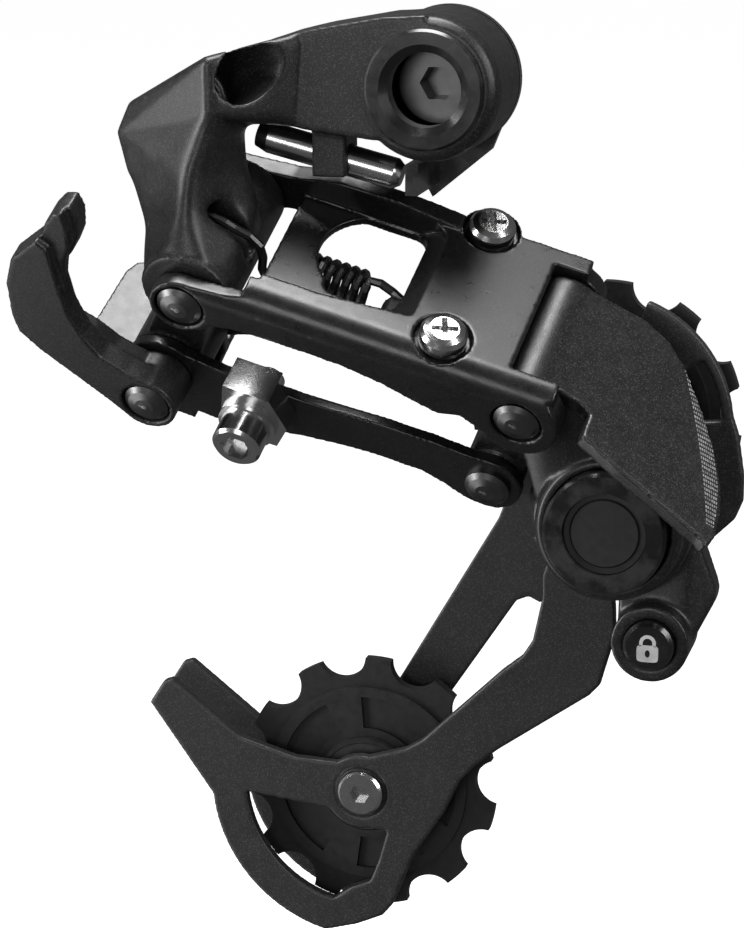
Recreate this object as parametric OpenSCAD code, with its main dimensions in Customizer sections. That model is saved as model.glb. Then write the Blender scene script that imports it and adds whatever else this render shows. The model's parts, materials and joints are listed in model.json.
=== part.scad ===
// Rear derailleur for a ten-speed bicycle, with a slanted parallelogram and a locking cage clutch.
// X points forward on the bicycle, Y inboard towards the wheel, Z up, in millimetres.
// The origin is on the hanger bolt's axis, on the outer face of the frame's hanger.

/* [Hanger bolt and upper knuckle] */
// Radius of the hanger bolt's M10 thread
hanger_thread_r = 5; // [4.8:0.1:5]
// Length of the thread that enters the hanger
hanger_thread_len = 9; // [7:0.5:11]
// Radius of the upper knuckle's barrel
barrel_r = 11.5; // [11:0.1:12]
// Distance from the hanger face to the front of the barrel
barrel_front = 18; // [17.5:0.1:18.5]
// Radius of the cable housing's seat
housing_r = 3.05; // [2.6:0.05:3.1]

/* [Parallelogram] */
// Distance between the pins of one link
link_len = 55.8; // [55:0.1:57]
// Tilt of the link pins above horizontal
pin_tilt = 33; // [32:0.5:34]
// Turn of the link pins towards the front
pin_yaw = 8.5; // [8:0.5:9]
// Downward slope of the links along their own plane
link_pitch = 20; // [19:0.5:21]
// Radius of the link pins
link_pin_r = 2.5; // [2.2:0.1:2.6]

/* [Lower knuckle and clutch] */
// Forward distance of the cage pivot
pivot_x = 29.8; // [29.5:0.1:30.2]
// Drop of the cage pivot below the hanger bolt
pivot_drop = 67.7; // [67.4:0.1:68.1]
// Radius of the clutch housing
clutch_r = 11.8; // [11.6:0.1:12]
// Radius of the lock button
button_r = 4.1; // [3.5:0.1:4.2]

/* [Cage and pulleys] */
// Number of teeth on each pulley
teeth = 11; // [11:1:11]
// Pitch of the chain
chain_pitch = 12.7; // [12.6:0.1:12.8]
// Distance from the hanger face inboard to the chain's centre plane
chain_y = 11; // [10.8:0.1:11.2]
// Thickness of each cage plate
plate_t = 2; // [1.6:0.1:2.2]
// Free width between the cage plates
cage_gap = 9; // [8.8:0.1:9.2]

/* [Hidden] */
$fn = 48;

eps = 0.05;
fit_gap = 0.05;
side_gap = 0.3;

// Colours of the real finishes
cast_black = [0.13, 0.13, 0.14];
gloss_black = [0.06, 0.06, 0.07];
plastic_black = [0.09, 0.09, 0.1];
bright_steel = [0.82, 0.83, 0.85];
dark_steel = [0.45, 0.46, 0.48];
spring_steel = [0.3, 0.3, 0.32];
bronze = [0.65, 0.5, 0.3];
rubber_black = [0.05, 0.05, 0.05];

// The link frame: X along the links, Y along the pins, Z out of the links' outer face.
// Its origin is the outer link's upper pin, on the front face of that link.
link_origin = [-37, -28, -34];
lower_pin_x = -2.3;
lower_pin_z = -19.5;
flange_t = 3;
fork_front = 4.8;
fork_back = 28.1;
link_depth = 31.4;
web_low = 4.8;
web_top = 7;
web_start = 11;
slot_start = 52.5;
hinge_r = 5.5;
upper_hub_r = 7.6;
lower_hub_r = 6.4;
bush_r = link_pin_r + 1;
bar_front = 2.5;
bar_t = 2;
rear_bar = 16.3;
boss_front = -5;

// Places on the cage
pivot_z = -pivot_drop;
upper_x = 24.1;
upper_z = -56.2;
lower_x = -16.2;
lower_z = -123.9;
plate_front = chain_y - cage_gap / 2 - plate_t;
plate_back = chain_y + cage_gap / 2;
knuckle_back = plate_front - 2;
pitch_r = chain_pitch / (2 * sin(180 / teeth));
tip_r = pitch_r - 0.14;
button_x = 35.6;
button_z = -88.4;

// ---------------------------------------------------------------- helpers

// Extrudes an outline drawn in X and Z along Y, from y0 to y1.
module along_y(y0, y1, x = 0, z = 0) {
    translate([x, y1, z]) rotate([90, 0, 0]) linear_extrude(y1 - y0) children();
}

// A round bar along Y.
module rod_y(x, z, y0, y1, r) {
    along_y(y0, y1, x, z) circle(r = r);
}

// Turns a profile of radius and Y about an axis along Y.
module turn_y(x = 0, z = 0) {
    translate([x, 0, z]) rotate([-90, 0, 0]) rotate_extrude() children();
}

// A ring along Y.
module ring_y(x, z, y0, y1, r_in, r_out) {
    turn_y(x, z) translate([r_in, y0]) square([r_out - r_in, y1 - y0]);
}

// Places children drawn in the link frame.
module in_link_frame() {
    translate(link_origin) rotate([0, 0, -pin_yaw]) rotate([pin_tilt, 0, 0])
        rotate([0, link_pitch, 0]) children();
}

// Corner points of a rounded rectangle.
module rounded_box(x0, y0, x1, y1, r) {
    for (x = [x0 + r, x1 - r]) for (y = [y0 + r, y1 - r]) translate([x, y]) circle(r = r);
    translate([x0 + r, y0]) square([x1 - x0 - 2 * r, y1 - y0]);
    translate([x0, y0 + r]) square([x1 - x0, y1 - y0 - 2 * r]);
}

// An annular sector, from angle a0 to a1.
module sector_ring(r_in, r_out, a0, a1) {
    steps = 16;
    arc = [for (i = [0 : steps]) a0 + (a1 - a0) * i / steps];
    polygon(concat([for (a = arc) r_out * [cos(a), sin(a)]],
        [for (i = [steps : -1 : 0]) r_in * [cos(arc[i]), sin(arc[i])]]));
}

// Sweeps a round wire along a list of points, carrying its cross-section without twist.
function unit(v) = v / norm(v);
function heading(p, i) = unit(p[min(i + 1, len(p) - 1)] - p[max(i - 1, 0)]);
function level(v, t) = unit(v - (v * t) * t);
module wire(p, r, start, sides = 8) {
    normals = [for (i = 0, n = level(start, heading(p, 0)); i < len(p);
        i = i + 1, n = i < len(p) ? level(n, heading(p, i)) : n) n];
    rings = [for (i = [0 : len(p) - 1], k = [0 : sides - 1])
        let (a = 360 * k / sides, n = normals[i], m = cross(heading(p, i), n))
        p[i] + r * (cos(a) * n + sin(a) * m)];
    last = (len(p) - 1) * sides;
    faces = concat([[for (k = [0 : sides - 1]) k]],
        [for (i = [0 : len(p) - 2], k = [0 : sides - 1]) [i * sides + (k + 1) % sides,
            i * sides + k, (i + 1) * sides + k, (i + 1) * sides + (k + 1) % sides]],
        [[for (k = [sides - 1 : -1 : 0]) last + k]]);
    polyhedron(rings, faces, convexity = 10);
}

// A hexagon socket, cut along +Y from y0.
module socket_y(x, z, y0, depth, flats) {
    along_y(y0 - eps, y0 + depth, x, z) circle(d = flats / cos(30), $fn = 6);
}

// ---------------------------------------------------------------- hanger bolt and upper knuckle

bolt_head_front = -9.5;
bolt_head_back = -6.5;
shank_r = hanger_thread_r + 0.2;
washer_front = -1.6;
knuckle_bore = 7.2;

module hanger_bolt() {
    color(dark_steel) difference() {
        turn_y() polygon([[0, bolt_head_front], [6.2, bolt_head_front], [6.9, bolt_head_front + 0.7],
            [6.9, bolt_head_back], [shank_r, bolt_head_back], [shank_r, 0], [hanger_thread_r, 0],
            [hanger_thread_r, hanger_thread_len], [hanger_thread_r - 0.8, hanger_thread_len + 0.8],
            [0, hanger_thread_len + 0.8]]);
        socket_y(0, 0, bolt_head_front, 5, 5);
    }
}

// The washer under the knuckle carries the ear that the adjusting screw pushes on.
module b_limit_washer() {
    ear_x = -3.8;
    ear_t = 2;
    color(gloss_black) difference() {
        union() {
            along_y(washer_front, 0) {
                circle(r = barrel_r);
                polygon([[-8.3, -8], [ear_x, -12], [ear_x, -17], [-2.6, -19.2], [7, -11.2], [8.3, -8]]);
            }
            translate([ear_x, -15, -17]) cube([ear_t, 15 + washer_front + eps, 4.9]);
        }
        rod_y(0, 0, washer_front - 1, 1, shank_r + fit_gap);
    }
}

module b_bushing() {
    color(bronze) ring_y(0, 0, bolt_head_back + 0.1, washer_front - 0.15, shank_r + fit_gap,
        knuckle_bore);
}

// The adjusting screw lies outboard of the washer and slopes down to the front.
b_screw_start = [-28.4, -12, -8.6];
b_screw_slope = 13.7;
b_screw_len = 24.4;
b_screw_r = 2.5;
module in_b_screw_frame() {
    translate(b_screw_start) rotate([0, 90 + b_screw_slope, 0]) children();
}

// The seat for the cable housing opens forwards, outwards and up.
seat_point = [-34.5, -19.6, -1.5];
seat_turn = [0, 64, -20];
module housing_seat() {
    translate(seat_point) rotate(seat_turn) {
        cylinder(h = 30, r = 4.3);
        translate([0, 0, -6]) cylinder(h = 7, r = housing_r);
        translate([0, 0, -30]) cylinder(h = 30, r = 1.1);
    }
}

// Cross-sections of the arm, from its top down to the link hub. Each holds the outer ridge, the
// rear edge, the inner rear corner and the inner front corner.
arm_sections = [
    [[-32.6, -24.8, 3.7], [-47.6, -15.8, -4.6], [-44, -8, -3.5], [-30, -15, 3.5]],
    [[-32.4, -25, -4.5], [-49.4, -15.6, -8.6], [-45, -8.6, -8.6], [-30.2, -17.5, -6.2]],
    [[-35.4, -26.4, -13.5], [-46.6, -17.8, -16], [-42, -11.4, -15.5], [-29.8, -17, -12.6]],
    [[-35.9, -27, -19.8], [-43.6, -20.4, -22.6], [-38.5, -13.4, -21.5], [-28.5, -16.5, -18.5]],
    [[-34.4, -26.2, -26], [-42.6, -20.8, -27.4], [-38, -15, -27], [-29, -18, -24]]];

module arm_section(i, r = 1.3) {
    for (at = arm_sections[i]) translate(at) sphere(r = r, $fn = 20);
}

module b_knuckle() {
    color(cast_black) difference() {
        union() {
            // Barrel round the hanger bolt
            turn_y() polygon([[0, -barrel_front], [barrel_r - 1.6, -barrel_front],
                [barrel_r - 0.4, -barrel_front + 0.9], [barrel_r, -barrel_front + 2.6],
                [barrel_r, washer_front - 0.15], [0, washer_front - 0.15]]);
            // Wall that runs back from the barrel
            along_y(-barrel_front + 0.1, -6) polygon([[0, barrel_r - 0.1], [-7, 10.9], [-17, 9], [-24, 7.3],
                [-24, -6.2], [-17, -7.2], [-8, -8.2], [0, -6]]);
            // Bend from the wall out to the top of the arm
            hull() {
                arm_section(0);
                for (at = [[-20, -16.6, 7], [-21, -16.6, -5.4], [-20, -8, 6.6], [-21, -8, -5.2],
                    [-31.4, -24.6, -3.6], [-30.4, -16, -4.4]]) translate(at) sphere(r = 1.2, $fn = 20);
            }
            // Strap of the arm
            for (i = [0 : 2]) hull() {
                arm_section(i);
                arm_section(i + 1);
            }
            // Foot of the arm, down to the upper link hub
            hull() {
                arm_section(3);
                arm_section(4);
                in_link_frame() rod_y(0, 0, 3.6, 18, upper_hub_r - 0.4, $fn = 32);
            }
            in_link_frame() {
                rod_y(0, 0, 3 + side_gap, fork_back - side_gap, upper_hub_r);
                rod_y(lower_pin_x, lower_pin_z, bar_front + bar_t + side_gap, rear_bar - side_gap,
                    lower_hub_r);
            }
            // Web between the two link hubs
            hull() in_link_frame() {
                rod_y(0, 0, 5, 14, 5, $fn = 32);
                rod_y(lower_pin_x, lower_pin_z, 5.5, 15, 4.5, $fn = 32);
            }
            // Boss of the adjusting screw
            translate([-18.6, -16, -14.4]) cube([5.4, 8, 9]);
        }
        rod_y(0, 0, -barrel_front - 1, 1, knuckle_bore);
        in_b_screw_frame() cylinder(h = b_screw_len, r = b_screw_r + fit_gap);
        housing_seat();
        in_link_frame() {
            // Groove for the hook of the return spring
            along_y(11.3, 14.6) sector_ring(6.6, 11, 16, 124);
            rod_y(0, 0, 0, link_depth, bush_r);
            rod_y(lower_pin_x, lower_pin_z, 0, link_depth, bush_r);
        }
    }
}

module b_dust_ring() {
    color(gloss_black) turn_y() polygon([[5.8, -barrel_front - 0.1], [5.8, -barrel_front - 0.3],
        [7.1, -barrel_front - 1.2], [9, -barrel_front - 1.2], [9.4, -barrel_front - 0.7],
        [9.4, -barrel_front], [knuckle_bore - 0.1, -barrel_front], [knuckle_bore - 0.1, -barrel_front + 2.5],
        [5.8, -barrel_front + 2.5]]);
}

module b_adjust_screw() {
    color(bright_steel) in_b_screw_frame() difference() {
        union() {
            cylinder(h = 2, r1 = 1.9, r2 = b_screw_r);
            translate([0, 0, 2]) cylinder(h = b_screw_len - 3.4, r = b_screw_r);
            translate([0, 0, b_screw_len - 1.4]) cylinder(h = 1.1, r1 = b_screw_r, r2 = 1.7);
        }
        translate([0, 0, -eps]) cylinder(h = 3, d = 2.5 / cos(30), $fn = 6);
    }
}

// Two plain bushes, one in each link hub of the upper knuckle
module b_pin_bushings() {
    color(bronze) in_link_frame() {
        ring_y(0, 0, 3 + side_gap, fork_back - side_gap, link_pin_r + fit_gap, bush_r);
        ring_y(lower_pin_x, lower_pin_z, bar_front + bar_t + side_gap, rear_bar - side_gap,
            link_pin_r + fit_gap, bush_r);
    }
}

// ---------------------------------------------------------------- parallelogram

screw_x = 41;
high_screw_y = 6;
low_screw_y = 30.5;
screw_r = 2;

module flange_outline() {
    circle(r = 5);
    translate([link_len, 0]) circle(r = 6.6);
    polygon([[-1, 4.8], [7, 5.4], [13, 6.6], [20, 7.2], [26, 6.9], [33, 5.9], [38.5, 4.8],
        [43.5, 4.6], [48, 6.5], [link_len, 6.6], [link_len, -6.6], [50.7, -4.3], [47, -2.6],
        [43.5, -3.8], [39, -2.8], [33.8, -1.4], [27, -0.5], [20, -0.4], [9.8, -0.7],
        [5.5, -1.8], [4.3, -3.4], [0, -5]]);
}

module rear_flange_outline() {
    circle(r = 5.2);
    translate([link_len, 0]) circle(r = 5.6);
    polygon([[0, 5.2], [8, 6.2], [16, 8.4], [26, 8.8], [34, 7.8], [46, 7], [link_len, 5.6],
        [link_len, -5.6], [46, -1], [34, 1.5], [20, 1.5], [8, -1], [0, -5.2]]);
}

pocket_floor = 1.9;
pocket_end = 35.5;
pocket_back = 28.2;

// Opening in the floor of the pocket
module link_window() {
    rounded_box(19.6, 10.2, 32.2, 27.6, 2.5);
    intersection() {
        translate([25.4, 19.6]) circle(r = 8.9);
        translate([15, 10.2]) square([17.2, 17.4]);
    }
}

// The channel of the link: two flanges joined by a web. The web's upper half is sunk into an open
// pocket, and the channel's long edges are rounded.
module link_channel() {
    shoulder = 4.2;
    intersection() {
            union() {
                along_y(0, flange_t) flange_outline();
                along_y(fork_back, link_depth) rear_flange_outline();
                rod_y(link_len, 0, 0, fork_front, 6.6);
                translate([0, 0, web_low]) linear_extrude(web_top - web_low) difference() {
                    polygon([[web_start, 0], [55, 0], [60.5, 1.5], [60.5, 4.8], [slot_start, 4.8],
                        [slot_start, fork_back], [58, fork_back], [58, link_depth],
                        [web_start, link_depth]]);
                    rounded_box(2, 6.5, pocket_end, pocket_back, 4);
                }
                // Front rail of the pocket
                translate([0, 0, pocket_floor]) linear_extrude(web_top - pocket_floor)
                    polygon([[9.5, 1.8], [9.5, 5.2], [19, 6.3], [37, 8.4], [37, 1.8]]);
                translate([0, 0, pocket_floor]) linear_extrude(3)
                    polygon([[9.8, 1.8], [9.8, 7], [19, 8.1], [33, 9.8], [33, 1.8]]);
                // Floor, and the slope at its end
                translate([0, 0, pocket_floor]) linear_extrude(1.5)
                    translate([10.4, 2.5]) square([22, pocket_back + 0.3 - 2.5]);
                along_y(6, pocket_back + 0.3) polygon([[30.5, pocket_floor], [34, pocket_floor],
                    [36.5, web_low + 0.2], [36.5, web_top], [pocket_end, web_top],
                    [30.5, pocket_floor + 1.5]]);
            }
            // Rounds the long front and rear edges of the channel
            rotate([90, 0, 90]) translate([0, 0, -10]) linear_extrude(80) {
                translate([0, -12]) square([link_depth, 12]);
                translate([0, -eps]) square([link_depth, web_top - shoulder + eps]);
                translate([shoulder, 0]) square([link_depth - shoulder - 1.5, 9]);
                translate([shoulder, web_top - shoulder]) circle(r = shoulder);
                translate([link_depth - 1.5, 0]) square([1.5, 7.5]);
                translate([link_depth - 1.5, 7.5]) circle(r = 1.5);
            }
    }
}

module outer_link() {
    color(cast_black) in_link_frame() difference() {
        union() {
            link_channel();
            translate([screw_x, high_screw_y, 0.5]) cylinder(h = 5, r = 3.4);
            translate([screw_x, low_screw_y, 0.5]) cylinder(h = web_top - 0.5, r = 4.9);
        }
        translate([0, 0, pocket_floor - 1]) linear_extrude(8) link_window();
        for (y = [low_screw_y, high_screw_y]) translate([screw_x, y, 0]) {
            cylinder(h = 12, r = screw_r + fit_gap);
            translate([0, 0, 5.6]) cylinder(h = 6, r = 4.6);
        }
        rod_y(0, 0, -1, link_depth + 1, link_pin_r);
        rod_y(link_len, 0, -1, link_depth + 1, link_pin_r);
        rod_y(0, 0, -1, 1.2, 4.1);
        rod_y(link_len, 0, -1, 1.2, 4.1);
    }
}

// A headed pin along Y with a domed head at y0 and a riveted end at y1.
module headed_pin(x, z, y0, y1) {
    turn_y(x, z) polygon([[0, y0 - 0.5], [1.6, y0 - 0.4], [2.9, y0], [3.7, y0 + 0.6], [3.7, y0 + 1.4],
        [link_pin_r, y0 + 1.4], [link_pin_r, y1], [1.9, y1 + 0.5], [0, y1 + 0.5]]);
}

module outer_link_pins() {
    color(dark_steel) in_link_frame() for (x = [0, link_len])
        headed_pin(x, 0, -0.2, link_depth);
}

// A pan-head screw with a cross recess, along Z of the link frame.
module limit_screw(y) {
    head_low = 6.1;
    head_h = 3;
    head_r = 3.75;
    color(bright_steel) in_link_frame() translate([screw_x, y, 0]) difference() {
        union() {
            translate([0, 0, 0.9]) cylinder(h = head_low, r = screw_r);
            rotate_extrude() polygon([[0, head_low], [head_r, head_low], [head_r, head_low + 1.9],
                [head_r - 0.5, head_low + 2.6], [head_r - 1.4, head_low + head_h], [0, head_low + head_h]]);
        }
        for (a = [0, 90]) rotate(a + 20) translate([-2.1, -0.45, head_low + 1.1])
            cube([4.2, 0.9, head_h]);
    }
}

module low_limit_screw() {
    limit_screw(low_screw_y);
}

module high_limit_screw() {
    limit_screw(high_screw_y);
}

// The coil lies along the link; its hook passes over the upper hub and its tail reaches the anchor.
coil_y = 17.8;
coil_z = -2.2;
coil_r = 2.7;
spring_wire_r = 0.75;
coil_start = 14;
coil_turns = 7.25;
coil_pitch = 1.6;
hook_r = 8.9;
anchor_x = 32.2;
anchor_z = -0.9;
function coil_point(a) = [coil_start + coil_pitch * a / 360, coil_y - coil_r * cos(a),
    coil_z + coil_r * sin(a)];
module return_spring() {
    hook = [for (a = [118 : -11 : 63]) [hook_r * cos(a), 12.5, hook_r * sin(a)]];
    lead = [[6.6, 12.5, 7.3], [8.4, 12.5, 5.9], [9.2, 12.5, 3.6], [9.2, 12.6, 1], [9.7, 13.2, -1.1],
        [11.2, 14.3, -2.1], [12.8, 14.9, -2.4]];
    coil = [for (a = [0 : 22.5 : 360 * coil_turns]) coil_point(a)];
    tail = [[27.4, 18, 0.5], [29.6, 17.8, -0.3], [31.4, 17.2, -0.8], [anchor_x, 16.2, anchor_z],
        [anchor_x, 14, anchor_z], [anchor_x, 11, anchor_z]];
    color(spring_steel) in_link_frame() wire(concat(hook, lead, coil, tail), spring_wire_r, [0, 1, 0]);
}

module bar_outline() {
    translate([lower_pin_x, lower_pin_z]) circle(r = 6.6);
    translate([link_len + lower_pin_x, lower_pin_z]) circle(r = 5.4);
    polygon([[lower_pin_x - 1, -13.2], [8, -14.6], [21, -14.9], [34, -14.1], [43, -13.9], [48, -14.2],
        [53.5, -14.1], [53.5, -24.9], [50.5, -24.6], [46.5, -22.9], [42.5, -21.7], [33, -21.7],
        [24, -23], [9, -26.4], [-2.3, -26.1]]);
}

module rear_bar_outline() {
    translate([lower_pin_x, lower_pin_z]) circle(r = 5.2);
    translate([link_len + lower_pin_x, lower_pin_z]) circle(r = 4.8);
    polygon([[lower_pin_x, -14.3], [12, -13.4], [25, -12.8], [40, -13.2], [53.5, -14.7],
        [53.5, -24.3], [40, -17.6], [25, -17], [12, -17.8], [0, -24.2]]);
}

module inner_link() {
    skirt_low = -26.3;
    skirt_t = 1.8;
    color(cast_black) in_link_frame() difference() {
        union() {
            along_y(bar_front, bar_front + bar_t) bar_outline();
            along_y(rear_bar, rear_bar + bar_t) rear_bar_outline();
            // Skirt that joins the two bars below the upper knuckle's hub
            translate([0, 0, skirt_low - skirt_t]) linear_extrude(skirt_t)
                polygon([[-18.6, 9], [-18, 26], [-17, 28.6], [-14.5, 30], [-8, 30], [3.5, 24], [4, bar_front],
                    [-8, bar_front]]);
            along_y(rear_bar, rear_bar + bar_t) polygon([[-7, -21], [3, -21], [3.8, skirt_low - 1],
                [-9, skirt_low - 1]]);
            along_y(bar_front, bar_front + bar_t) polygon([[-7, -21], [3, -21], [4, skirt_low - skirt_t],
                [-8, skirt_low - skirt_t]]);
        }
        rod_y(lower_pin_x, lower_pin_z, 0, link_depth, link_pin_r);
        rod_y(link_len + lower_pin_x, lower_pin_z, 0, link_depth, link_pin_r);
        rod_y(clamp_x, clamp_z, 0, 8, clamp_bolt_r);
    }
}

module inner_link_pins() {
    color(dark_steel) in_link_frame() {
        headed_pin(lower_pin_x, lower_pin_z, boss_front - 0.2, rear_bar + bar_t);
        headed_pin(link_len + lower_pin_x, lower_pin_z, bar_front - 1.4, rear_bar + bar_t);
    }
}

// The fin guides the bare cable from the housing seat round to its anchor.
module cable_fin() {
    color(cast_black) in_link_frame() difference() {
        union() {
            rod_y(lower_pin_x, lower_pin_z, boss_front, bar_front - eps, 5.1);
            along_y(boss_front, -1) polygon([[-22.4, 9.8], [-26.3, 3.8], [-26.9, -1.8], [-25.8, -9],
                [-24.5, -12.3], [-20.7, -15.1], [-15.4, -17.9], [-9.3, -21.2], [-4, -24.3],
                [1, -23.4], [0, -14.9], [-6, -13.6], [-10.5, -12], [-14, -8.4], [-16.4, -4.2],
                [-18.7, 2.7], [-20.4, 8.6]]);
            along_y(-3.6, -1.2) polygon([[-18.9, 16.2], [-20.2, 15.4], [-21.4, 13], [-22.3, 8.8], [-25.8, 1],
                [-26.4, -4], [-25.2, -11], [-21.5, -15.6], [-12, -21.4], [-5, -24], [-4, -15],
                [-9.5, -13.6], [-13.2, -9.4], [-15.2, -6.3], [-16.6, -3.4], [-17.9, 1.5],
                [-17.9, 5.5], [-17.3, 9.2], [-17.7, 13]]);
            // The deep part stays clear of the outer link's swing
            along_y(-2, 2) polygon([[-18.2, 16.4], [-20, 15.6], [-21.4, 13], [-22.3, 8.8], [-25.4, 1],
                [-25.9, -4], [-24.8, -10.6], [-21, -15.2], [-12, -21], [-5, -23.6], [-4, -15],
                [-9.5, -13.4], [-13.4, -11.2], [-17.6, -9.9], [-20.4, -7.4], [-21, -3.4], [-20.4, 1],
                [-17.4, 6.4], [-16.6, 10], [-16.9, 14]]);
        }
        rod_y(lower_pin_x, lower_pin_z, boss_front - 1, 8, link_pin_r);
        rod_y(lower_pin_x, lower_pin_z, boss_front - 1, boss_front + 1.2, 4.1);
    }
}

clamp_x = 14.2;
clamp_z = -18.6;
clamp_bolt_r = 2.5;
clamp_front = -2;

// The clamp plate hooks over the top of the link, so it can't turn with its bolt.
module cable_clamp_plate() {
    color(bright_steel) in_link_frame() difference() {
        union() {
            along_y(clamp_front, bar_front - 0.1) polygon([[9.2, -12.2], [17, -12.2], [20.6, -17.5],
                [19.4, -22.2], [9.6, -22.8]]);
            translate([9.2, clamp_front, -14.2]) cube([7.8, 6.6, 2]);
        }
        rod_y(clamp_x, clamp_z, -5, 5, clamp_bolt_r + 0.05);
        // Groove that holds the cable
        translate([5, bar_front - 0.1, -16]) rotate([0, 98, 0]) cylinder(h = 20, r = 0.8);
    }
}

module cable_anchor_bolt() {
    head_len = 6;
    color(bright_steel) in_link_frame() difference() {
        turn_y(clamp_x, clamp_z) polygon([[0, clamp_front - head_len], [3.6, clamp_front - head_len],
            [4.1, clamp_front - head_len + 0.5], [4.1, clamp_front - 1.1], [4.8, clamp_front - 1],
            [4.8, clamp_front], [clamp_bolt_r, clamp_front], [clamp_bolt_r, 8], [clamp_bolt_r - 0.5, 8.5],
            [0, 8.5]]);
        socket_y(clamp_x, clamp_z, clamp_front - head_len, 3, 4.5);
    }
}

// ---------------------------------------------------------------- lower knuckle and clutch

cover_drop = 15;
clutch_front = -20.5;
clutch_bore = 10;
shelf_y = -3;
lock_back = 0;

// The cover's frame: the link frame turned down about the hinge, so that Z leaves its outer face.
module in_cover_frame() {
    in_link_frame() translate([link_len, 0, 0]) rotate([0, cover_drop, 0]) children();
}

module p_knuckle() {
    color(cast_black) difference() {
        union() {
            in_link_frame() {
                rod_y(link_len, 0, fork_front + side_gap, fork_back - side_gap, hinge_r);
                rod_y(link_len + lower_pin_x, lower_pin_z, bar_front + bar_t + side_gap,
                    rear_bar - side_gap, 5);
            }
            // Web between the two link hubs
            hull() in_link_frame() {
                rod_y(link_len, 0, 7, 16, 4.8, $fn = 32);
                rod_y(link_len + lower_pin_x, lower_pin_z, 5.5, 15, 4.5, $fn = 32);
            }
            // Body between the hinge and the clutch
            hull() {
                in_link_frame() rod_y(link_len, 0, 8.5, 26, hinge_r - 0.7, $fn = 32);
                rod_y(pivot_x, pivot_z, -15, knuckle_back - 0.5, clutch_r - 1, $fn = 32);
                rod_y(42.5, -66, -14, -3, 2.5, $fn = 24);
            }
            // Cover plate, tangent to the hinge barrel
            in_cover_frame() translate([0, 0, 2.7]) linear_extrude(hinge_r - 2.9)
                polygon([[0, 6], [7.4, 5.5], [9.2, 4.6], [9.4, 0], [16.3, -2.4], [24, -4.4], [32, -6.6], [33.4, -7.6],
                    [34.3, -5], [33.8, 0], [32.4, 4.8], [29.4, 10.6], [25.4, 16.6], [21, 22.2], [17, 25.8],
                    [12, 27.5], [0, 27.5]]);
            // Clutch housing
            turn_y(pivot_x, pivot_z) polygon([[0, clutch_front + 1.5], [clutch_r - 0.9, clutch_front + 1.5],
                [clutch_r, clutch_front + 2.4], [clutch_r, knuckle_back], [0, knuckle_back]]);
            // Rear of the housing, drawn out to the lower link hub
            hull() {
                rod_y(pivot_x, pivot_z, -14, knuckle_back - 0.4, 12.7, $fn = 48);
                rod_y(20.2, -65.4, -11, knuckle_back - 0.4, 4.6, $fn = 32);
            }
            // Arm and boss of the cage lock
            hull() {
                rod_y(button_x, button_z, -8, lock_back - 0.3, 5.8, $fn = 32);
                rod_y(pivot_x + 6, pivot_z - 4, -6, lock_back - 0.3, 6, $fn = 32);
                rod_y(40.6, -81, -5, lock_back - 0.3, 4.6, $fn = 32);
            }
            rod_y(button_x, button_z, -11, lock_back, 6.3);
            in_link_frame() {
                // Nose that anchors the return spring
                along_y(10.3, 15.9) polygon([[54, 3.6], [44, 2.6], [36, 1.5], [29.8, 1], [28.8, -0.6],
                    [29.6, -3.2], [36, -4.8], [54, -5]]);
                // Lug under the tip of the high limit screw
                along_y(5.6, 10.2) polygon([[53, 3], [47, 0.2], [38.6, 0.2], [38.6, -2.6], [53, -4]]);
            }
            // Lug that the cage's pin rests against
            along_y(-3, knuckle_back - 0.2, pivot_x, pivot_z) sector_ring(10.8, 16.4, 203, 225);
        }
        rod_y(pivot_x, pivot_z, clutch_front - 1, shelf_y, clutch_bore);
        rod_y(pivot_x, pivot_z, -10, 5, bush_bore);
        rod_y(button_x, button_z, -12, -3, button_r + 0.1);
        rod_y(button_x, button_z, -5, 5, 1.6);
        in_link_frame() {
            rod_y(link_len, 0, 0, link_depth, bush_r);
            rod_y(link_len + lower_pin_x, lower_pin_z, 0, rear_bar, bush_r);
            rod_y(anchor_x, anchor_z, 9, 17, spring_wire_r + 0.25);
            // Room for the front arm of the outer link's fork
            rod_y(link_len, 0, -3, fork_front + 0.15, 7);
        }
    }
}

axle_r = 5;
bush_bore = 6.4;

// Bushes for the hinge pins; the lower one has the loose fit that closes the linkage.
module p_pin_bushings() {
    color(bronze) in_link_frame() {
        ring_y(link_len, 0, fork_front + side_gap, fork_back - side_gap, link_pin_r + fit_gap, bush_r);
        ring_y(link_len + lower_pin_x, lower_pin_z, bar_front + bar_t + side_gap, rear_bar - side_gap,
            link_pin_r + 0.3, bush_r);
    }
}

module clutch_cap_ring() {
    color(gloss_black) turn_y(pivot_x, pivot_z) polygon([[6.6, clutch_front - 1.5], [9.3, clutch_front - 1.5],
        [9.8, clutch_front - 1], [9.8, clutch_front + 3], [8.6, clutch_front + 3],
        [8.6, clutch_front + 1], [6.6, clutch_front + 0.6]]);
}

module clutch_cap_disc() {
    color(plastic_black) turn_y(pivot_x, pivot_z) polygon([[0, clutch_front - 0.7],
        [5.3, clutch_front - 0.7], [5.6, clutch_front - 0.4], [6.5, clutch_front - 0.4],
        [6.5, clutch_front + 0.6], [0, clutch_front + 0.6]]);
}

roller_r = 1;
rollers = 14;
drum_r = 6.2;
race_front = -16;
race_back = -9;

module clutch_outer_race() {
    color(dark_steel) ring_y(pivot_x, pivot_z, race_front, race_back, drum_r + 2 * roller_r + 0.1, 9);
}

module clutch_rollers() {
    color(bright_steel) for (i = [0 : rollers - 1]) {
        a = 360 * i / rollers;
        rod_y(pivot_x + (drum_r + roller_r + 0.05) * cos(a), pivot_z + (drum_r + roller_r + 0.05) * sin(a),
            race_front + 0.5, race_back - 0.5, roller_r);
    }
}

module clutch_drum() {
    color(dark_steel) ring_y(pivot_x, pivot_z, race_front, race_back, axle_r, drum_r);
}

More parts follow.
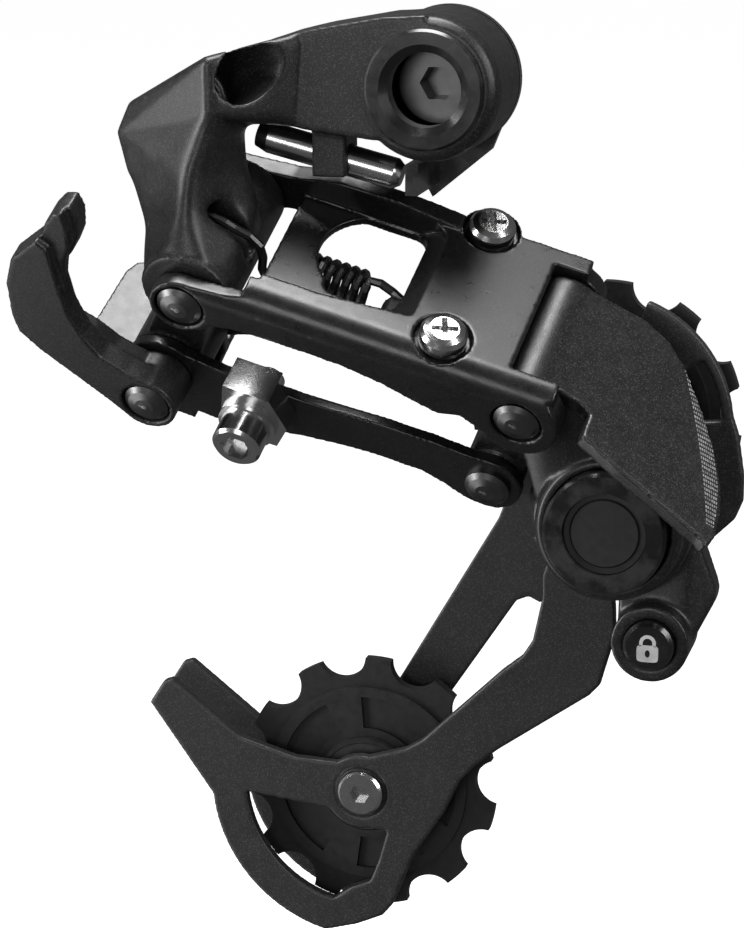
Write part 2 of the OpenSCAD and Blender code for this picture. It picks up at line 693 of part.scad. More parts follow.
// The band grips the race and gives the cage its drag.
module clutch_friction_band() {
    color(bronze) along_y(race_front + 0.6, race_back - 0.6, pivot_x, pivot_z)
        sector_ring(9.2, 9.8, 20, 340);
}

module cage_pivot_bushing() {
    color(bronze) ring_y(pivot_x, pivot_z, shelf_y, knuckle_back, axle_r + fit_gap, bush_bore);
}

module cage_return_spring() {
    r = 8.6;
    wire_r = 0.6;
    turns = 3;
    first = race_back + 0.75;
    path = [for (a = [0 : 22.5 : 360 * turns])
        [pivot_x + r * cos(a), first + a / 360 * 1.5, pivot_z + r * sin(a)]];
    color(spring_steel) wire(path, wire_r, [0, 1, 0]);
}

module cage_axle() {
    color(dark_steel) difference() {
        turn_y(pivot_x, pivot_z) polygon([[0, race_front - 1.6], [axle_r - 0.3, race_front - 1.6],
            [axle_r - 0.3, race_front - 0.9], [axle_r - 0.8, race_front - 0.9],
            [axle_r - 0.8, race_front - 0.1], [axle_r, race_front - 0.1],
            [axle_r, plate_front + plate_t], [0, plate_front + plate_t]]);
        socket_y(pivot_x, pivot_z, race_front - 1.6, 4, 5);
    }
}

module axle_retaining_ring() {
    color(bright_steel) along_y(race_front - 0.85, race_front - 0.15, pivot_x, pivot_z)
        sector_ring(axle_r - 0.7, drum_r - 0.2, 110, 430);
}

module cage_seal() {
    color(rubber_black) ring_y(pivot_x, pivot_z, knuckle_back + 0.1, plate_front, axle_r + 0.6, 10.4);
}

module lock_button() {
    color(gloss_black) turn_y(button_x, button_z) polygon([[0, -12.6], [button_r - 0.6, -12.6],
        [button_r, -12], [button_r, -7.4], [1.5, -7.4], [1.5, 1.2], [1, 1.8], [0, 1.8]]);
}

module lock_button_spring() {
    r = 2.8;
    wire_r = 0.3;
    turns = 3;
    path = [for (a = [0 : 30 : 360 * turns])
        [button_x + r * cos(a), -6.9 + a / 360 * 1.1, button_z + r * sin(a)]];
    color(spring_steel) wire(path, wire_r, [0, 1, 0], 6);
}

// ---------------------------------------------------------------- cage and pulleys

guard_r = 21.7;
bolt_r = 2.5;

// Outline shared by both plates: the finger behind the lower pulley
module finger_outline() {
    polygon([[-54.1, -110.8], [-51.6, -106.8], [-50, -106.2], [-37.8, -115.8], [-28, -118.6],
        [-16, -119], [-18, -128], [-24, -127.1], [-37.4, -125.6], [-42.8, -126.7]]);
}

// Foot of the arm, where the arc round the lower pulley ends
module lower_guard_foot() {
    polygon([[-22.6, -149.9], [-17, -148.3], [-12.4, -146.2], [-10.6, -144], [-6.9, -134.6],
        [-1.7, -126.5], [1.1, -120.4], [-11.6, -130.6], [-13.1, -136], [-14.6, -140],
        [-18.1, -141.5], [-21.2, -143.9]]);
}

module arm_outline() {
    polygon([[14.9, -83], [15, -86.5], [13.4, -94.3], [11.6, -97.2], [8, -100.2], [-5.4, -113.4],
        [-8.4, -115.3], [-23.4, -120.1], [-21.5, -127.4], [-16.2, -130.3], [-11.6, -130.6],
        [-1.7, -126.5], [1.1, -120.4], [3.8, -117.3], [7.8, -114], [23.2, -103.1],
        [24.9, -101.2], [25.6, -98.6], [27.4, -92.2], [26.8, -80], [17.4, -75]]);
}

module outer_cage_plate() {
    color(cast_black) difference() {
        union() {
            along_y(plate_front, plate_front + plate_t) finger_outline();
            along_y(plate_front, plate_front + plate_t, lower_x, lower_z)
                sector_ring(20.6, 26.8, 176, 256);
            along_y(plate_front, plate_front + plate_t) lower_guard_foot();
            along_y(plate_front, plate_front + plate_t) arm_outline();
            rod_y(lower_x, lower_z, plate_front, plate_front + plate_t, 6.6);
            rod_y(pivot_x, pivot_z, plate_front, plate_front + plate_t, 15);
            // Guard over the upper pulley
            along_y(plate_front, plate_front + plate_t, upper_x, upper_z)
                sector_ring(11, guard_r, -8, 70);
            along_y(plate_front, plate_front + plate_t)
                polygon([[45.5, -53.5], [46.7, -57], [47.8, -64], [47.8, -68], [46.6, -71], [43.6, -74],
                    [38, -78], [30, -70], [34, -56]]);
            // Lips that keep the chain on the pulleys
            along_y(plate_front, plate_front + 3.2) translate([lower_x, lower_z])
                sector_ring(24.6, 26.8, 184, 252);
            ring_y(lower_x, lower_z, plate_front + plate_t - eps, plate_front + plate_t + 0.3, 3.4, 5);
        }
        along_y(plate_front - 1, plate_front + 4, upper_x, upper_z) sector_ring(16, 20, 4, 34);
        rod_y(pivot_x, pivot_z, plate_front - 1, plate_front + 4, axle_r);
        rod_y(lower_x, lower_z, plate_front - 1, plate_front + 4, bolt_r + fit_gap);
        rod_y(lower_x, lower_z, plate_front - 1, plate_front + 0.6, 4.5);
        rod_y(upper_x, upper_z, plate_front - 1, plate_front + 4, bolt_r + fit_gap);
    }
}

module inner_cage_plate() {
    color(cast_black) difference() {
        union() {
            along_y(plate_back, plate_back + plate_t) finger_outline();
            along_y(plate_back, plate_back + plate_t, lower_x, lower_z)
                sector_ring(18.4, 24, 176, 262);
            rod_y(lower_x, lower_z, plate_back, plate_back + plate_t, 8);
            rod_y(upper_x, upper_z, plate_back, plate_back + plate_t, 15);
            along_y(plate_back, plate_back + plate_t)
                polygon([[-20, -127.5], [-22, -120.2], [-13.2, -108.2], [5, -76.6], [12, -58], [36, -58],
                    [38, -72], [32, -88], [12.3, -90.9], [10.4, -90], [8.3, -90.9], [-3, -108.2],
                    [-8, -117], [-9, -122]]);
            along_y(plate_back, plate_back + plate_t)
                polygon([[-16, -118], [-12, -128], [-12, -143], [-17, -147.2], [-20, -147], [-20, -141]]);
        }
        rod_y(lower_x, lower_z, plate_back - 1, plate_back + 4, bolt_r);
        rod_y(upper_x, upper_z, plate_back - 1, plate_back + 4, bolt_r);
        // Lightening holes
        along_y(plate_back - 1, plate_back + 4) {
            translate([upper_x, upper_z]) sector_ring(7, 12, 20, 110);
            translate([24, -76]) circle(r = 4);
        }
    }
}

module cage_stop_pin() {
    color(bright_steel) rod_y(stop_x, stop_z, 0.4, plate_front, stop_r);
}
stop_r = 1.4;
stop_x = pivot_x + 14.8 * cos(232.5);
stop_z = pivot_z + 14.8 * sin(232.5);

// A pulley: sprocket teeth on a thicker body, with a hub and five sunk panels on each face.
module pulley(x, z, phase) {
    hub = 3.6;
    color(plastic_black) difference() {
        union() {
            along_y(chain_y - 1, chain_y + 1, x, z) difference() {
                circle(r = tip_r, $fn = 96);
                for (i = [0 : teeth - 1]) rotate(phase + 360 * (i + 0.5) / teeth)
                    translate([pitch_r + 0.7, 0]) circle(r = 4.3);
            }
            ring_y(x, z, chain_y - 1.7, chain_y + 1.7, 8, 17.4);
            rod_y(x, z, chain_y - hub, chain_y + hub, 8.6);
        }
        rod_y(x, z, chain_y - hub - 1, chain_y + hub + 1, 4.05);
        for (i = [0 : 4]) for (side = [-1, 1])
            along_y(chain_y + side * 1.9 - 1, chain_y + side * 1.9 + 1, x, z)
                sector_ring(10, 15.6, phase + 72 * i, phase + 72 * i + 48);
        for (side = [-1, 1]) ring_y(x, z, chain_y + side * hub - 0.9, chain_y + side * hub + 0.9, 0.5, 7.9);
    }
}

module upper_pulley() {
    pulley(upper_x, upper_z, 53.19);
}

module lower_pulley() {
    pulley(lower_x, lower_z, 118.57);
}

module pulley_bushing(x, z) {
    color(dark_steel) ring_y(x, z, plate_front + plate_t + 0.3, plate_back - 0.02, bolt_r + fit_gap, 4);
}

module upper_pulley_bushing() {
    pulley_bushing(upper_x, upper_z);
}

module lower_pulley_bushing() {
    pulley_bushing(lower_x, lower_z);
}

// Two thin shields that sit in the hub's faces
module dust_covers(x, z) {
    color(dark_steel) for (side = [-1, 1]) {
        y = chain_y + side * 3.2;
        ring_y(x, z, y - 0.3, y + 0.3, 4.03, 7.8);
    }
}

module upper_dust_covers() {
    dust_covers(upper_x, upper_z);
}

module lower_dust_covers() {
    dust_covers(lower_x, lower_z);
}

module pulley_bolt(x, z) {
    color(bright_steel) difference() {
        turn_y(x, z) polygon([[0, plate_front - 1], [3.5, plate_front - 1], [3.9, plate_front - 0.6],
            [3.9, plate_front + 0.6], [bolt_r, plate_front + 0.6], [bolt_r, plate_back + plate_t + 0.6],
            [0, plate_back + plate_t + 0.6]]);
        socket_y(x, z, plate_front - 1, 2, 3);
    }
}

module upper_pulley_bolt() {
    color(bright_steel) turn_y(upper_x, upper_z) polygon([[0, plate_front + 0.2],
        [bolt_r, plate_front + 0.2], [bolt_r, plate_back + plate_t], [3.6, plate_back + plate_t],
        [3.6, plate_back + plate_t + 1.4], [0, plate_back + plate_t + 1.4]]);
}

module lower_pulley_bolt() {
    pulley_bolt(lower_x, lower_z);
}

hanger_bolt();
b_limit_washer();
b_bushing();
b_knuckle();
b_dust_ring();
b_adjust_screw();
b_pin_bushings();
outer_link();
outer_link_pins();
low_limit_screw();
high_limit_screw();
return_spring();
inner_link();
inner_link_pins();
cable_fin();
cable_clamp_plate();
cable_anchor_bolt();
p_knuckle();
p_pin_bushings();
clutch_cap_ring();
clutch_cap_disc();
clutch_outer_race();
clutch_rollers();
clutch_drum();
clutch_friction_band();
cage_pivot_bushing();
cage_return_spring();
cage_axle();
axle_retaining_ring();
cage_seal();
lock_button();
lock_button_spring();
outer_cage_plate();
inner_cage_plate();
cage_stop_pin();
upper_pulley();
lower_pulley();
upper_pulley_bushing();
lower_pulley_bushing();
upper_dust_covers();
lower_dust_covers();
upper_pulley_bolt();
lower_pulley_bolt();
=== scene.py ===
import json
import math

import bpy
from mathutils import Matrix, Vector


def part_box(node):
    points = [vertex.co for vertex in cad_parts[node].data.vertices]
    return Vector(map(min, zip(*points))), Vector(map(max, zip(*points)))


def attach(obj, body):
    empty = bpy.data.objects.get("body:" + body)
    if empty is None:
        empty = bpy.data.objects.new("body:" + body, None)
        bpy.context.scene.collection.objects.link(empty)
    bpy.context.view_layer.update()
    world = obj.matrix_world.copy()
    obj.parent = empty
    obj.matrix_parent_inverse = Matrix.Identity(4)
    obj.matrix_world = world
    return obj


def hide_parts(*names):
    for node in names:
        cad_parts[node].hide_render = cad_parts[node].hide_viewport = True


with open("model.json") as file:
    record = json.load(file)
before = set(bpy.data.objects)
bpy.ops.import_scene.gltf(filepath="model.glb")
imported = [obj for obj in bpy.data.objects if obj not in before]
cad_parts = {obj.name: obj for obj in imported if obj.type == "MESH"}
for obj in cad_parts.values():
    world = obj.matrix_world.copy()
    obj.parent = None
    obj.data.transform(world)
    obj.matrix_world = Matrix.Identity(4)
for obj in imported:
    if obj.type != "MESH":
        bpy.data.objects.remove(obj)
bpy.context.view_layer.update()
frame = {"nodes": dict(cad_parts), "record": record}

# Lengths in this script are in millimetres, apart from those of the studio.
MM = 0.001

RECORD = frame["record"]
NODES = frame["nodes"]
BODY_OF = {node: body for body, members in RECORD["behaviour"]["bodies"].items() for node in members}
SLOT_OF = {part["node"]: part["material_slot"] for part in RECORD["subparts"]}
JOINTS = {joint["name"]: joint for joint in RECORD["behaviour"]["joints"]}
MOUNTS = {mount["name"]: mount for mount in RECORD["mounts"]}


def place_of(entry):
    """Where a joint or mount of the record lies, in millimetres."""
    return Vector(entry["pos_m"]) / MM


def direction_of(entry):
    return Vector(entry["axis"]).normalized()


OUTER_PIVOT_AT = place_of(JOINTS["outer_arm_pivot"])
INNER_PIVOT_AT = place_of(JOINTS["inner_arm_pivot"])
PIN_DIRECTION = direction_of(JOINTS["outer_arm_pivot"])
SCREW_AXIS = direction_of(JOINTS["low_screw_turn"])
SEAT_AT = place_of(MOUNTS["housing_seat"])
SEAT_AXIS = direction_of(MOUNTS["housing_seat"])

# The cover lies in the plane of the outer link, turned down about the hinge.
COVER_TILT = math.radians(15)
COVER_AT = place_of(JOINTS["lower_knuckle_pivot"])
COVER_OUT = Matrix.Rotation(COVER_TILT, 3, PIN_DIRECTION) @ SCREW_AXIS
COVER_ALONG = PIN_DIRECTION.cross(COVER_OUT).normalized()


# ---------------------------------------------------------------- node materials

class Graph:
    """A small helper that adds nodes to a material and links them."""

    def __init__(self, name):
        self.mat = bpy.data.materials.new(name)
        self.mat.use_nodes = True
        self.tree = self.mat.node_tree
        self.shader = self.tree.nodes["Principled BSDF"]
        self.coord = self.tree.nodes.new("ShaderNodeTexCoord").outputs["Object"]

    def node(self, kind, **values):
        made = self.tree.nodes.new(kind)
        for key, value in values.items():
            if isinstance(value, bpy.types.NodeSocket):
                self.tree.links.new(value, made.inputs[key])
            elif key in made.inputs:
                made.inputs[key].default_value = value
            else:
                setattr(made, key, value)
        return made

    def noise(self, per_mm, detail=2.0, roughness=0.5):
        """Noise with about per_mm features in each millimetre."""
        return self.node("ShaderNodeTexNoise", Vector=self.coord, Scale=per_mm / MM,
                         Detail=detail, Roughness=roughness).outputs["Fac"]

    def span(self, value, low, high, to_low, to_high):
        """Maps the range from low to high onto to_low to to_high."""
        made = self.node("ShaderNodeMapRange", Value=value)
        for key, number in (("From Min", low), ("From Max", high),
                            ("To Min", to_low), ("To Max", to_high)):
            made.inputs[key].default_value = number
        return made.outputs[0]

    def mix(self, factor, a, b):
        """A colour between a and b."""
        made = self.node("ShaderNodeMix", data_type="RGBA")
        for socket, value in ((made.inputs[0], factor), (made.inputs[6], a), (made.inputs[7], b)):
            if isinstance(value, bpy.types.NodeSocket):
                self.tree.links.new(value, socket)
            else:
                socket.default_value = value
        return made.outputs[2]

    def bump(self, height, distance_mm, strength=1.0, under=None):
        """A bumped normal, laid over the normal under."""
        made = self.node("ShaderNodeBump", Height=height, Distance=distance_mm * MM, Strength=strength)
        if under is not None:
            self.tree.links.new(under, made.inputs["Normal"])
        return made.outputs[0]

    def edge_highlight(self, amount_low=0.53, amount_high=0.6):
        """A painted highlight: lighter along sharp convex edges, broken up by noise."""
        point = self.node("ShaderNodeNewGeometry").outputs["Pointiness"]
        edge = self.span(point, amount_low, amount_high, 0.0, 1.0)
        patch = self.span(self.noise(0.25, 3.0), 0.42, 0.62, 0.0, 1.0)
        return self.product(edge, patch)

    def product(self, a, b):
        return self.math("MULTIPLY", a, b, clamp=True)

    def math(self, operation, *values, clamp=False):
        made = self.node("ShaderNodeMath", operation=operation, use_clamp=clamp)
        for socket, value in zip(made.inputs, values):
            if isinstance(value, bpy.types.NodeSocket):
                self.tree.links.new(value, socket)
            else:
                socket.default_value = value
        return made.outputs[0]

    def along(self, origin_mm, direction):
        """Distance of the surface point from an origin along a direction, in millimetres."""
        made = self.node("ShaderNodeVectorMath", operation="DOT_PRODUCT")
        self.tree.links.new(self.coord, made.inputs[0])
        made.inputs[1].default_value = direction / MM
        return self.math("SUBTRACT", made.outputs["Value"], origin_mm.dot(direction))

    def between(self, value, low, high):
        """1 where value lies between low and high, else 0."""
        return self.math("MULTIPLY", self.math("GREATER_THAN", value, low),
                         self.math("LESS_THAN", value, high))

    def finish(self, color=None, roughness=None, normal=None, metallic=0.0, **constants):
        """Joins the values to the shader; an underscore in a constant's name is a space."""
        for key, value in (("Base Color", color), ("Roughness", roughness), ("Normal", normal)):
            if isinstance(value, bpy.types.NodeSocket):
                self.tree.links.new(value, self.shader.inputs[key])
            elif value is not None:
                self.shader.inputs[key].default_value = value
        self.shader.inputs["Metallic"].default_value = metallic
        for key, value in constants.items():
            self.shader.inputs[key.replace("_", " ")].default_value = value
        return self.mat


def grey(value, warm=0.0):
    """A grey colour, tinted towards orange by warm."""
    return (value * (1 + warm), value, value * (1 - warm), 1.0)


FLAKE_GLINT_GREY = 0.11
EDGE_HIGHLIGHT_GREY = 0.09
PRINT_GREY = 0.30
FLAKES_PER_METRE = 5600.0


def painted(name, dark, light, rough, speckle, coat=0.0, print_mask=None):
    """Satin black paint over cast metal, with fine flakes whose glints are painted in as pale specks,
    painted highlights along sharp edges and a faint orange peel.

    print_mask(graph) gives the part of the surface that carries a pale print.
    """
    g = Graph(name)
    flakes = g.node("ShaderNodeTexVoronoi", Vector=g.coord, Scale=FLAKES_PER_METRE)
    chosen = g.span(g.node("ShaderNodeSeparateColor", Color=flakes.outputs["Color"]).outputs[0],
                    0.55, 1.0, 0.0, speckle)
    near = g.span(flakes.outputs["Distance"], 0.25, 0.6, 1.0, 0.0)
    cloud = g.span(g.noise(0.09, 4.0), 0.3, 0.7, 0.0, 1.0)
    base = g.mix(cloud, grey(dark), grey(light))
    # Painted glints: a share of the paint's real flakes is coloured lighter grey in place of their
    # sparkle.
    base = g.mix(g.product(chosen, near), base, grey(FLAKE_GLINT_GREY))
    # Painted highlight: a lighter grey along sharp convex edges, standing in for the light they catch.
    base = g.mix(g.product(g.edge_highlight(), 0.3), base, grey(EDGE_HIGHLIGHT_GREY))
    if print_mask:
        base = g.mix(print_mask(g), base, grey(PRINT_GREY))
    uneven = g.span(g.noise(0.5, 4.0, 0.6), 0.25, 0.75, rough - 0.05, rough + 0.07)
    grain = g.bump(flakes.outputs["Distance"], 0.02, 0.35 * min(1.0, speckle * 1.6))
    peel = g.bump(g.noise(4.5, 3.0, 0.6), 0.012, 0.5, grain)
    return g.finish(base, uneven, peel, Coat_Weight=coat, Coat_Roughness=0.16,
                    Specular_IOR_Level=0.5)


def plastic(name, value, rough):
    """Moulded plastic or rubber, slightly uneven."""
    g = Graph(name)
    base = g.mix(g.noise(0.4, 4.0), grey(value * 0.8), grey(value * 1.25))
    uneven = g.span(g.noise(0.8, 3.0), 0.3, 0.7, rough - 0.06, rough + 0.08)
    return g.finish(base, uneven, g.bump(g.noise(3.0, 3.0), 0.008, 0.4))


def steel(name, value, rough, warm=0.0, dirt=0.25):
    """Bare or plated metal with cloudy dirt."""
    g = Graph(name)
    cloud = g.span(g.noise(0.35, 4.0, 0.6), 0.35, 0.7, 0.0, 1.0)
    base = g.mix(g.product(cloud, dirt), grey(value, warm), grey(value * 0.45, warm))
    streak = g.noise(3.5, 3.0, 0.6)
    uneven = g.span(streak, 0.3, 0.7, rough - 0.04, rough + 0.06)
    return g.finish(base, uneven, g.bump(streak, 0.004, 0.25), metallic=1.0)


# The crescent of dashes on the cover. Each edge is a parabola in y: start + slope y - bend y^2.
CRESCENT_LEFT = (31.0, -0.37, 0.0045)
CRESCENT_RIGHT = (33.0, -0.2, 0.0155)
CRESCENT_FROM, CRESCENT_TO = -3.6, 22.5
COVER_FACE_ABOVE = 4.4
ROWS_PER_MM, ROW_SHARE = 1.33, 0.58
DASHES_PER_MM, DASH_SHARE = 2.6, 0.6


def dash_rows(g):
    """Rows of fine dashes that fill a crescent along the cover's rear edge."""
    x = g.along(COVER_AT, COVER_ALONG)
    y = g.along(COVER_AT, PIN_DIRECTION)
    z = g.along(COVER_AT, COVER_OUT)
    square = g.math("MULTIPLY", y, y)

    def edge(start, slope, bend):
        return g.math("SUBTRACT", g.math("MULTIPLY_ADD", y, slope, start),
                      g.math("MULTIPLY", square, bend))

    def repeated(distance, per_mm, share):
        return g.math("LESS_THAN", g.math("FRACT", g.math("MULTIPLY", distance, per_mm)), share)

    left, right = edge(*CRESCENT_LEFT), edge(*CRESCENT_RIGHT)
    inside = g.between(x, left, right)
    inside = g.math("MULTIPLY", inside, g.between(y, CRESCENT_FROM, CRESCENT_TO))
    inside = g.math("MULTIPLY", inside, g.math("GREATER_THAN", z, COVER_FACE_ABOVE))
    row = repeated(y, ROWS_PER_MM, ROW_SHARE)
    dash = repeated(g.math("SUBTRACT", x, left), DASHES_PER_MM, DASH_SHARE)
    worn = g.span(g.noise(0.8, 3.0), 0.35, 0.6, 0.35, 1.0)
    return g.math("MULTIPLY", g.math("MULTIPLY", inside, g.math("MULTIPLY", row, dash)), worn)


MATERIALS = {
    "cast_black": painted("satin_black_cast", 0.007, 0.011, 0.38, 0.75),
    "gloss_black": painted("gloss_black_paint", 0.004, 0.007, 0.22, 0.1, 0.4),
    "plastic_black": plastic("moulded_black", 0.011, 0.45),
    "bright_steel": steel("bright_plated_steel", 0.62, 0.2, dirt=0.15),
    "dark_steel": steel("dark_grey_steel", 0.16, 0.32, dirt=0.4),
    "spring_steel": steel("oiled_spring_wire", 0.09, 0.33, dirt=0.5),
    "bronze": steel("sintered_bronze", 0.42, 0.4, warm=0.32),
    "rubber_black": plastic("rubber_seal", 0.01, 0.7),
}
LINK_BLACK = painted("link_black_paint", 0.005, 0.008, 0.30, 0.3, 0.1)
CAGE_BLACK = painted("cage_black_anodised", 0.014, 0.020, 0.42, 0.8)
COVER_BLACK = painted("cover_black_cast", 0.007, 0.011, 0.34, 0.7,
                      print_mask=dash_rows)
PRINT_WHITE = painted("printed_white", 0.5, 0.6, 0.5, 0.0)
# Nodes whose finish differs from that of their material slot.
SPECIAL = {
    "p_knuckle": COVER_BLACK,
    "outer_link": LINK_BLACK,
    "inner_link": LINK_BLACK,
    "outer_cage_plate": CAGE_BLACK,
    "inner_cage_plate": CAGE_BLACK,
}


def material_of(node):
    return SPECIAL.get(node, MATERIALS[SLOT_OF[node]])


def dress(obj, material):
    """Gives every face of an object one material."""
    obj.data.materials.clear()
    obj.data.materials.append(material)
    for face in obj.data.polygons:
        face.material_index = 0


# ---------------------------------------------------------------- CAD nodes with fine bevels

BEVEL_WIDTH = 0.12
BEVEL_ABOVE = math.radians(38)

for name, cad in NODES.items():
    dress(cad, material_of(name))
    bevel = cad.modifiers.new("edges", "BEVEL")
    bevel.width = BEVEL_WIDTH * MM
    bevel.segments = 2
    bevel.limit_method = "ANGLE"
    bevel.angle_limit = BEVEL_ABOVE
    bevel.harden_normals = False


# ---------------------------------------------------------------- castings with rounded edges

SMOOTHING_FACTOR = 0.5
LEAST_WEIGHT = 0.01


def bake(obj):
    """Turns the object's modifiers into mesh."""
    graph = bpy.context.evaluated_depsgraph_get()
    made = bpy.data.meshes.new_from_object(obj.evaluated_get(graph))
    obj.modifiers.clear()
    obj.data = made


def smoothing(obj, name, rounds):
    ease = obj.modifiers.new(name, "SMOOTH")
    ease.factor = SMOOTHING_FACTOR
    ease.iterations = rounds
    return ease


def softened(node, voxel_mm, rounds, ease_more=None, more_rounds=0):
    """A copy of a CAD casting whose edges are rounded like a moulding's, riding in its place.

    ease_more(point in mm) gives the weight, from 0 to 1, of a stronger smoothing.
    """
    obj = bpy.data.objects.new("cast_" + node, NODES[node].data.copy())
    bpy.context.scene.collection.objects.link(obj)
    remesh = obj.modifiers.new("solid", "REMESH")
    remesh.mode = "VOXEL"
    remesh.voxel_size = voxel_mm * MM
    remesh.use_smooth_shade = True
    bake(obj)
    if ease_more:
        group = obj.vertex_groups.new(name="soft")
        for vertex in obj.data.vertices:
            weight = ease_more(vertex.co / MM)
            if weight > LEAST_WEIGHT:
                group.add([vertex.index], weight, "REPLACE")
        smoothing(obj, "more", more_rounds).vertex_group = group.name
    smoothing(obj, "ease", rounds)
    bake(obj)
    dress(obj, material_of(node))
    for face in obj.data.polygons:
        face.use_smooth = True
    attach(obj, BODY_OF[node])
    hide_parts(node)


def fade(value, start, end):
    """0 at start, 1 at end, smooth in between."""
    t = min(1.0, max(0.0, (value - start) / (end - start)))
    return t * t * (3 - 2 * t)


def off_axis(point, origin, direction):
    """Distance of a point from a line."""
    away = point - origin
    return (away - away.dot(direction) * direction).length


def knuckle_arm(point):
    """The arm of the upper knuckle, clear of its link hubs and of the housing's seat."""
    return (fade(-point.x, 19, 27)
            * fade(off_axis(point, OUTER_PIVOT_AT, PIN_DIRECTION), 8, 12)
            * fade(off_axis(point, INNER_PIVOT_AT, PIN_DIRECTION), 7, 10)
            * fade(off_axis(point, SEAT_AT, SEAT_AXIS), 6.0, 9))


softened("b_knuckle", 0.32, 6, ease_more=knuckle_arm, more_rounds=200)
for casting, voxel, times in (("outer_link", 0.28, 4), ("inner_link", 0.28, 3),
                              ("cable_fin", 0.28, 4), ("p_knuckle", 0.35, 5),
                              ("outer_cage_plate", 0.28, 3), ("inner_cage_plate", 0.30, 3)):
    softened(casting, voxel, times)


# ---------------------------------------------------------------- sign on the lock button

SIGN_LIFT = 0.03
SIGN_THICKNESS = 0.05
SIGN_BODY = (1.75, 1.4)  # half width and half height
SIGN_KEYHOLE = (0.4, 0.62)
SIGN_BODY_DROP = 1.0
SIGN_SQUARENESS = 6
SHACKLE_RADII = (1.35, 0.78)
SHACKLE_RISE = 0.75
SHACKLE_LEG = -0.45


def arc(to_degrees, step):
    """Points of the unit circle, as cosine and sine."""
    return [(math.cos(math.radians(a)), math.sin(math.radians(a))) for a in range(0, to_degrees, step)]


def padlock_sign():
    """A plain padlock pictogram, printed on the face of the lock button."""
    low_corner, high_corner = (Vector(v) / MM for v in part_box("lock_button"))
    cx = (low_corner.x + high_corner.x) / 2
    cz = (low_corner.z + high_corner.z) / 2
    face = low_corner.y - SIGN_LIFT
    verts, faces = [], []

    def strip(outer, inner, closed):
        """A flat band between two outlines with as many points each."""
        start = len(verts)
        for (ox, oz), (ix, iz) in zip(outer, inner):
            verts.append(((cx + ox) * MM, face * MM, (cz + oz) * MM))
            verts.append(((cx + ix) * MM, face * MM, (cz + iz) * MM))
        count = len(outer)
        for k in range(count if closed else count - 1):
            a, b = start + 2 * k, start + 2 * ((k + 1) % count)
            faces.append((a, b, b + 1, a + 1))

    half_width, half_height = SIGN_BODY
    body, hole = [], []
    for c, s in arc(360, 10):
        across, up = abs(c) / half_width, abs(s) / half_height
        # Never further than the rectangle, and rounded towards its corners.
        reach = min(1.0 / max(across, up),
                    1.0 / (across ** SIGN_SQUARENESS + up ** SIGN_SQUARENESS) ** (1 / SIGN_SQUARENESS))
        body.append((reach * c, reach * s - SIGN_BODY_DROP))
        hole.append((SIGN_KEYHOLE[0] * c, SIGN_KEYHOLE[1] * s - SIGN_BODY_DROP))
    strip(body, hole, True)
    shackle = [(1.0, SHACKLE_LEG)] + arc(181, 12) + [(-1.0, SHACKLE_LEG)]
    outside, inside = ([(radius * c, radius * s + SHACKLE_RISE) for c, s in shackle]
                       for radius in SHACKLE_RADII)
    strip(outside, inside, False)

    mesh = bpy.data.meshes.new("padlock_sign")
    mesh.from_pydata(verts, [], faces)
    mesh.materials.append(PRINT_WHITE)
    sign = bpy.data.objects.new("padlock_sign", mesh)
    bpy.context.scene.collection.objects.link(sign)
    ink = sign.modifiers.new("ink", "SOLIDIFY")
    ink.thickness = SIGN_THICKNESS * MM
    ink.offset = 0.0
    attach(sign, BODY_OF["lock_button"])


padlock_sign()


# ---------------------------------------------------------------- camera, floor and light

# The studio is in metres. The camera's place and direction match the photograph's angle.
CAMERA_AT = (0.10916, -0.46756, 0.05824)
CAMERA_BACK = Vector((0.2451, -0.9378, 0.2460))
CAMERA_LENS = 117.096
SENSOR_WIDTH = 36.0
FLOOR_Z = -0.36
FLOOR_REACH = 40
LIT_POINT = (0.0, 0.0, -0.07)
WORLD_STRENGTH = 0.10

scene = bpy.context.scene


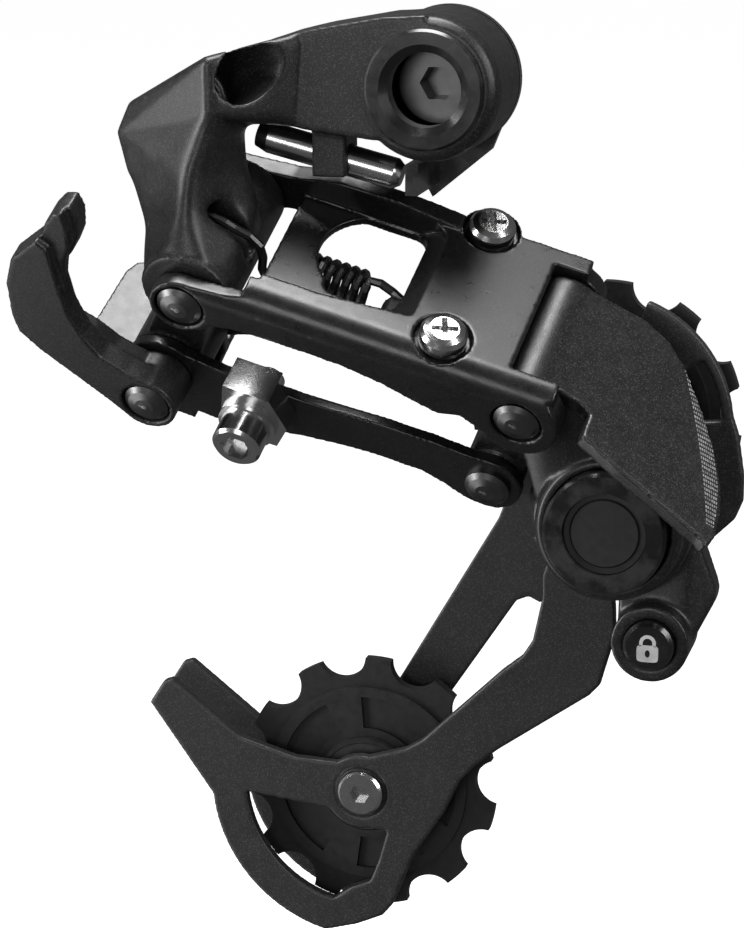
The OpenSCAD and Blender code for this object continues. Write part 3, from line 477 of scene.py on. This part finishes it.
def placed(name, data, place, forward):
    """A new object at place that looks along forward."""
    obj = bpy.data.objects.new(name, data)
    scene.collection.objects.link(obj)
    obj.location = place
    obj.rotation_mode = "QUATERNION"
    obj.rotation_quaternion = forward.to_track_quat("-Z", "Y")
    return obj


def photo_camera():
    data = bpy.data.cameras.new("photo_camera")
    data.lens = CAMERA_LENS
    data.sensor_width = SENSOR_WIDTH
    data.clip_start = 0.01
    data.clip_end = 20.0
    return placed("photo_camera", data, CAMERA_AT, -CAMERA_BACK)


def pale_floor_material():
    g = Graph("pale_floor")
    return g.finish(g.mix(g.noise(0.01, 3.0), grey(0.86), grey(0.9)),
                    g.span(g.noise(0.05), 0.3, 0.7, 0.8, 0.9),
                    Emission_Color=grey(1.0), Emission_Strength=0.9)


def pale_floor():
    """A wide floor that neither lights the part nor shows in its reflections."""
    turns = ((-1, -1), (1, -1), (1, 1), (-1, 1))
    mesh = bpy.data.meshes.new("floor")
    mesh.from_pydata([(FLOOR_REACH * x, FLOOR_REACH * y, FLOOR_Z) for x, y in turns], [], [(0, 1, 2, 3)])
    mesh.materials.append(pale_floor_material())
    floor = bpy.data.objects.new("floor", mesh)
    scene.collection.objects.link(floor)
    floor.visible_glossy = False
    floor.visible_diffuse = False


def soft_light(name, place, power, width, height):
    data = bpy.data.lights.new(name, "AREA")
    data.shape = "RECTANGLE"
    data.size = width
    data.size_y = height
    data.energy = power
    placed(name, data, place, Vector(LIT_POINT) - Vector(place))


scene.camera = photo_camera()
pale_floor()
for light in (
        ("top_softbox", (-0.06, -0.04, 0.62), 7.0, 0.38, 0.38),
        ("left_softbox", (-0.58, -0.32, 0.04), 3.6, 0.2, 0.55),
        ("right_softbox", (0.62, -0.3, 0.25), 2.4, 0.16, 0.5),
        ("front_card", (-0.1, -0.95, 0.1), 1.4, 0.3, 0.3),
        ("low_card", (-0.42, -0.2, -0.33), 0.8, 0.35, 0.35)):
    soft_light(*light)

world = bpy.data.worlds.new("studio")
scene.world = world
world.use_nodes = True
background = world.node_tree.nodes["Background"].inputs
background["Color"].default_value = grey(1.0)
background["Strength"].default_value = WORLD_STRENGTH
scene.view_settings.view_transform = "Standard"
